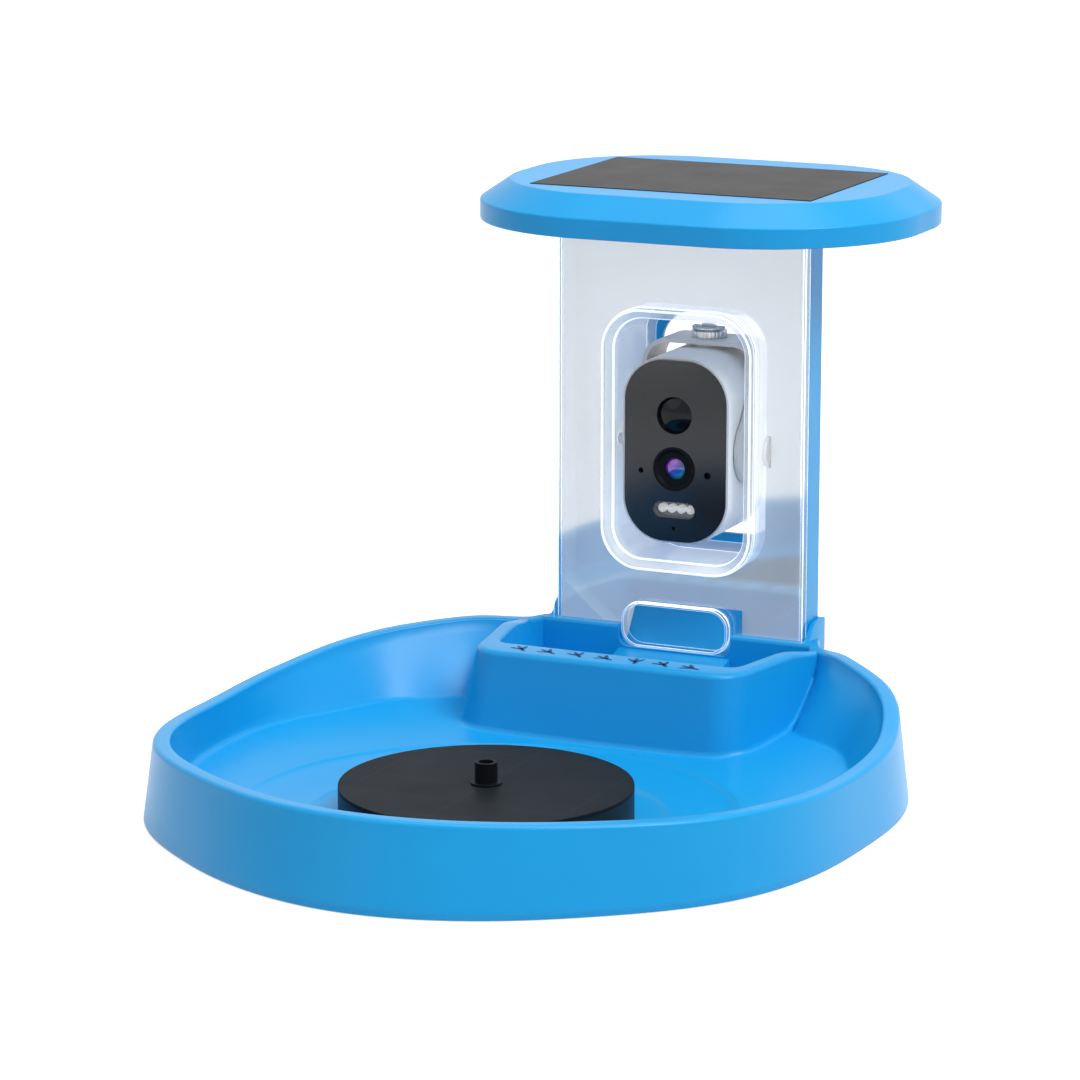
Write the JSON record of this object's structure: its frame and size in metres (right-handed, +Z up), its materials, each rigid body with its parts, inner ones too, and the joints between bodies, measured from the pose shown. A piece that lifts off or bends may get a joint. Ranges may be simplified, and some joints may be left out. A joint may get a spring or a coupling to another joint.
{
  "type": "camera bird feeder with basin",
  "caption": "Bird feeder station: wide water basin with a seed trough, clear hopper tower around a tilting camera, hinged solar roof and a floating solar fountain.",
  "frame": {"origin": "on the table under the middle of the whole object's box", "axes": "+X to the right seen from the basin's front, +Y from the basin towards the tower, +Z up"},
  "size_m": [0.3262, 0.4768, 0.2553],
  "materials": {
    "blue_plastic": "satin",
    "clear_plastic": "polished",
    "pale_plastic": "satin",
    "black_plastic": "satin",
    "black_foam": "matte",
    "solar_black": "satin",
    "fountain_black": "satin",
    "board_white": "matte",
    "rubber_black": "matte",
    "steel": "brushed",
    "brass": "turned",
    "white_plastic": "satin",
    "grey_plastic": "satin",
    "face_black": "gloss",
    "lens_glass": "polished",
    "lamp_clear": "polished",
    "lamp_white": "gloss",
    "circuit_green": "satin",
    "cell_wrap": "satin"
  },
  "bodies": {
    "base": {"basin": "blue_plastic", "rubber_feet": "rubber_black", "pole_insert": "brass"},
    "tower": {"hopper_window": "clear_plastic", "camera_tunnel": "clear_plastic", "hopper_liner": "pale_plastic", "seed_chute": "blue_plastic", "rear_housing": "blue_plastic", "rear_hood": "blue_plastic", "hood_screws": "steel", "roof_hinge_pin": "steel"},
    "roof": {"roof_cover": "blue_plastic", "solar_backing": "board_white", "solar_glass": "solar_black", "junction_box": "black_plastic", "cable_gland": "rubber_black", "roof_gasket": "black_foam"},
    "camera": {"yoke": "grey_plastic", "pivot_pins": "steel", "camera_shell": "white_plastic", "camera_face": "face_black", "camera_back": "grey_plastic", "camera_insert": "brass", "pir_window": "face_black", "lens_ring": "face_black", "lens_barrel": "black_plastic", "lens_glass": "lens_glass", "lamp_window": "lamp_clear", "lamps": "lamp_white", "pir_sensor": "steel", "light_sensor": "face_black", "front_board": "circuit_green", "camera_board": "circuit_green", "battery_cells": "cell_wrap"},
    "camera_screw": {"camera_screw": "steel"},
    "screw_ring": {"screw_ring": "steel"},
    "power_button": {"power_button": "rubber_black"},
    "usb_flap": {"usb_flap": "rubber_black"},
    "fountain": {"fountain_float": "black_foam", "fountain_cells": "fountain_black", "fountain_intake": "black_plastic", "fountain_axle": "steel", "fountain_nozzle": "black_plastic"},
    "impeller": {"fountain_impeller": "white_plastic"}
  },
  "joints": [
    {"name": "tower_lift", "type": "slide", "parent": "base", "child": "tower", "axis": [0, 0, 1], "range_m": [0, 0.06]},
    {"name": "roof_hinge", "type": "hinge", "parent": "tower", "child": "roof", "pos_m": [0, 0.13915, 0.2404], "axis": [-1, 0, 0], "range_deg": [0, 50]},
    {"name": "camera_tilt", "type": "hinge", "parent": "tower", "child": "camera", "pos_m": [0, 0.13315, 0.1292], "axis": [1, 0, 0], "range_deg": [-6, 6]},
    {"name": "camera_screw_turn", "type": "hinge", "parent": "camera", "child": "camera_screw", "pos_m": [0, 0.15215, 0.18], "axis": [0, 0, 1], "continuous": true},
    {"name": "screw_ring_fold", "type": "hinge", "parent": "camera_screw", "child": "screw_ring", "pos_m": [0, 0.15215, 0.1832], "axis": [-1, 0, 0], "range_deg": [0, 170]},
    {"name": "power_press", "type": "slide", "parent": "camera", "child": "power_button", "axis": [0, -1, 0], "range_m": [0, 0.001], "stiffness_N_per_m": 300, "springref_m": -0.001},
    {"name": "usb_flap_hinge", "type": "hinge", "parent": "camera", "child": "usb_flap", "pos_m": [0, 0.16725, 0.114], "axis": [1, 0, 0], "range_deg": [0, 100]},
    {"name": "fountain_lift", "type": "slide", "parent": "base", "child": "fountain", "axis": [0, 0, 1], "range_m": [0, 0.1]},
    {"name": "impeller_spin", "type": "hinge", "parent": "fountain", "child": "impeller", "pos_m": [0, -0.09935, 0.008], "axis": [0, 0, 1], "continuous": true}
  ]
}
